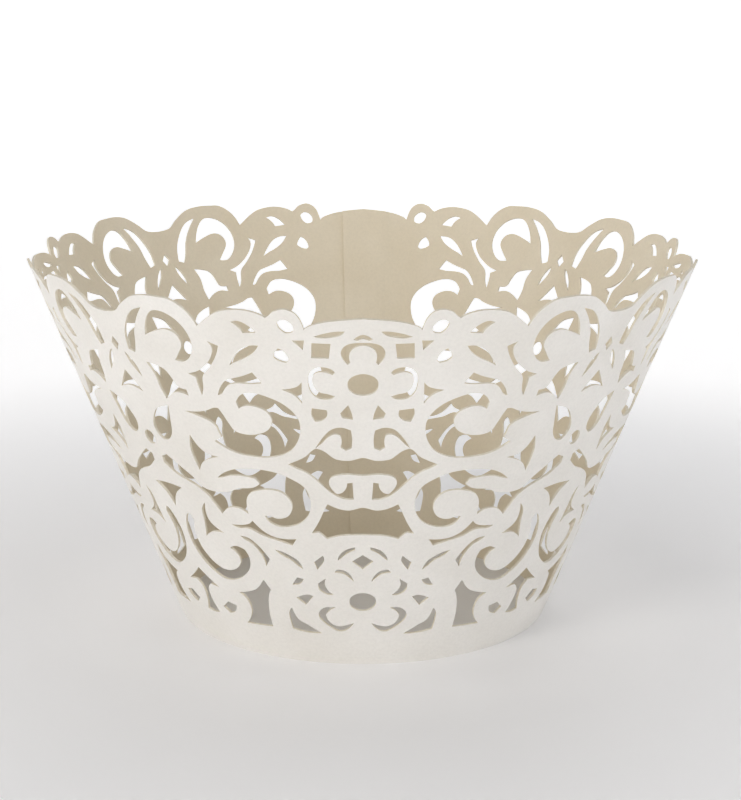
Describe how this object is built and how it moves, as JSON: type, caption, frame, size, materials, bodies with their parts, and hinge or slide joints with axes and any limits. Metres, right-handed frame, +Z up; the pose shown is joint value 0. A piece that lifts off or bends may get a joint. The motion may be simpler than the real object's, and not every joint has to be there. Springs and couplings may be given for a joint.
{
  "type": "cupcake wrapper",
  "caption": "Flared paper lace cone with scroll and flower cut-outs and a scalloped top, open at both ends, that goes round a cupcake.",
  "frame": {"origin": "centre of the open foot ring, on the plane that it rests on", "axes": "+Z up along the cone's axis, -Y to the front through the middle of a flower panel, the glued lap at the back on +Y"},
  "size_m": [0.0846, 0.0846, 0.0479],
  "materials": {
    "paper": "matte, slightly pearly card paper"
  },
  "bodies": {
    "root": {"wrapper": "paper"}
  },
  "joints": []
}
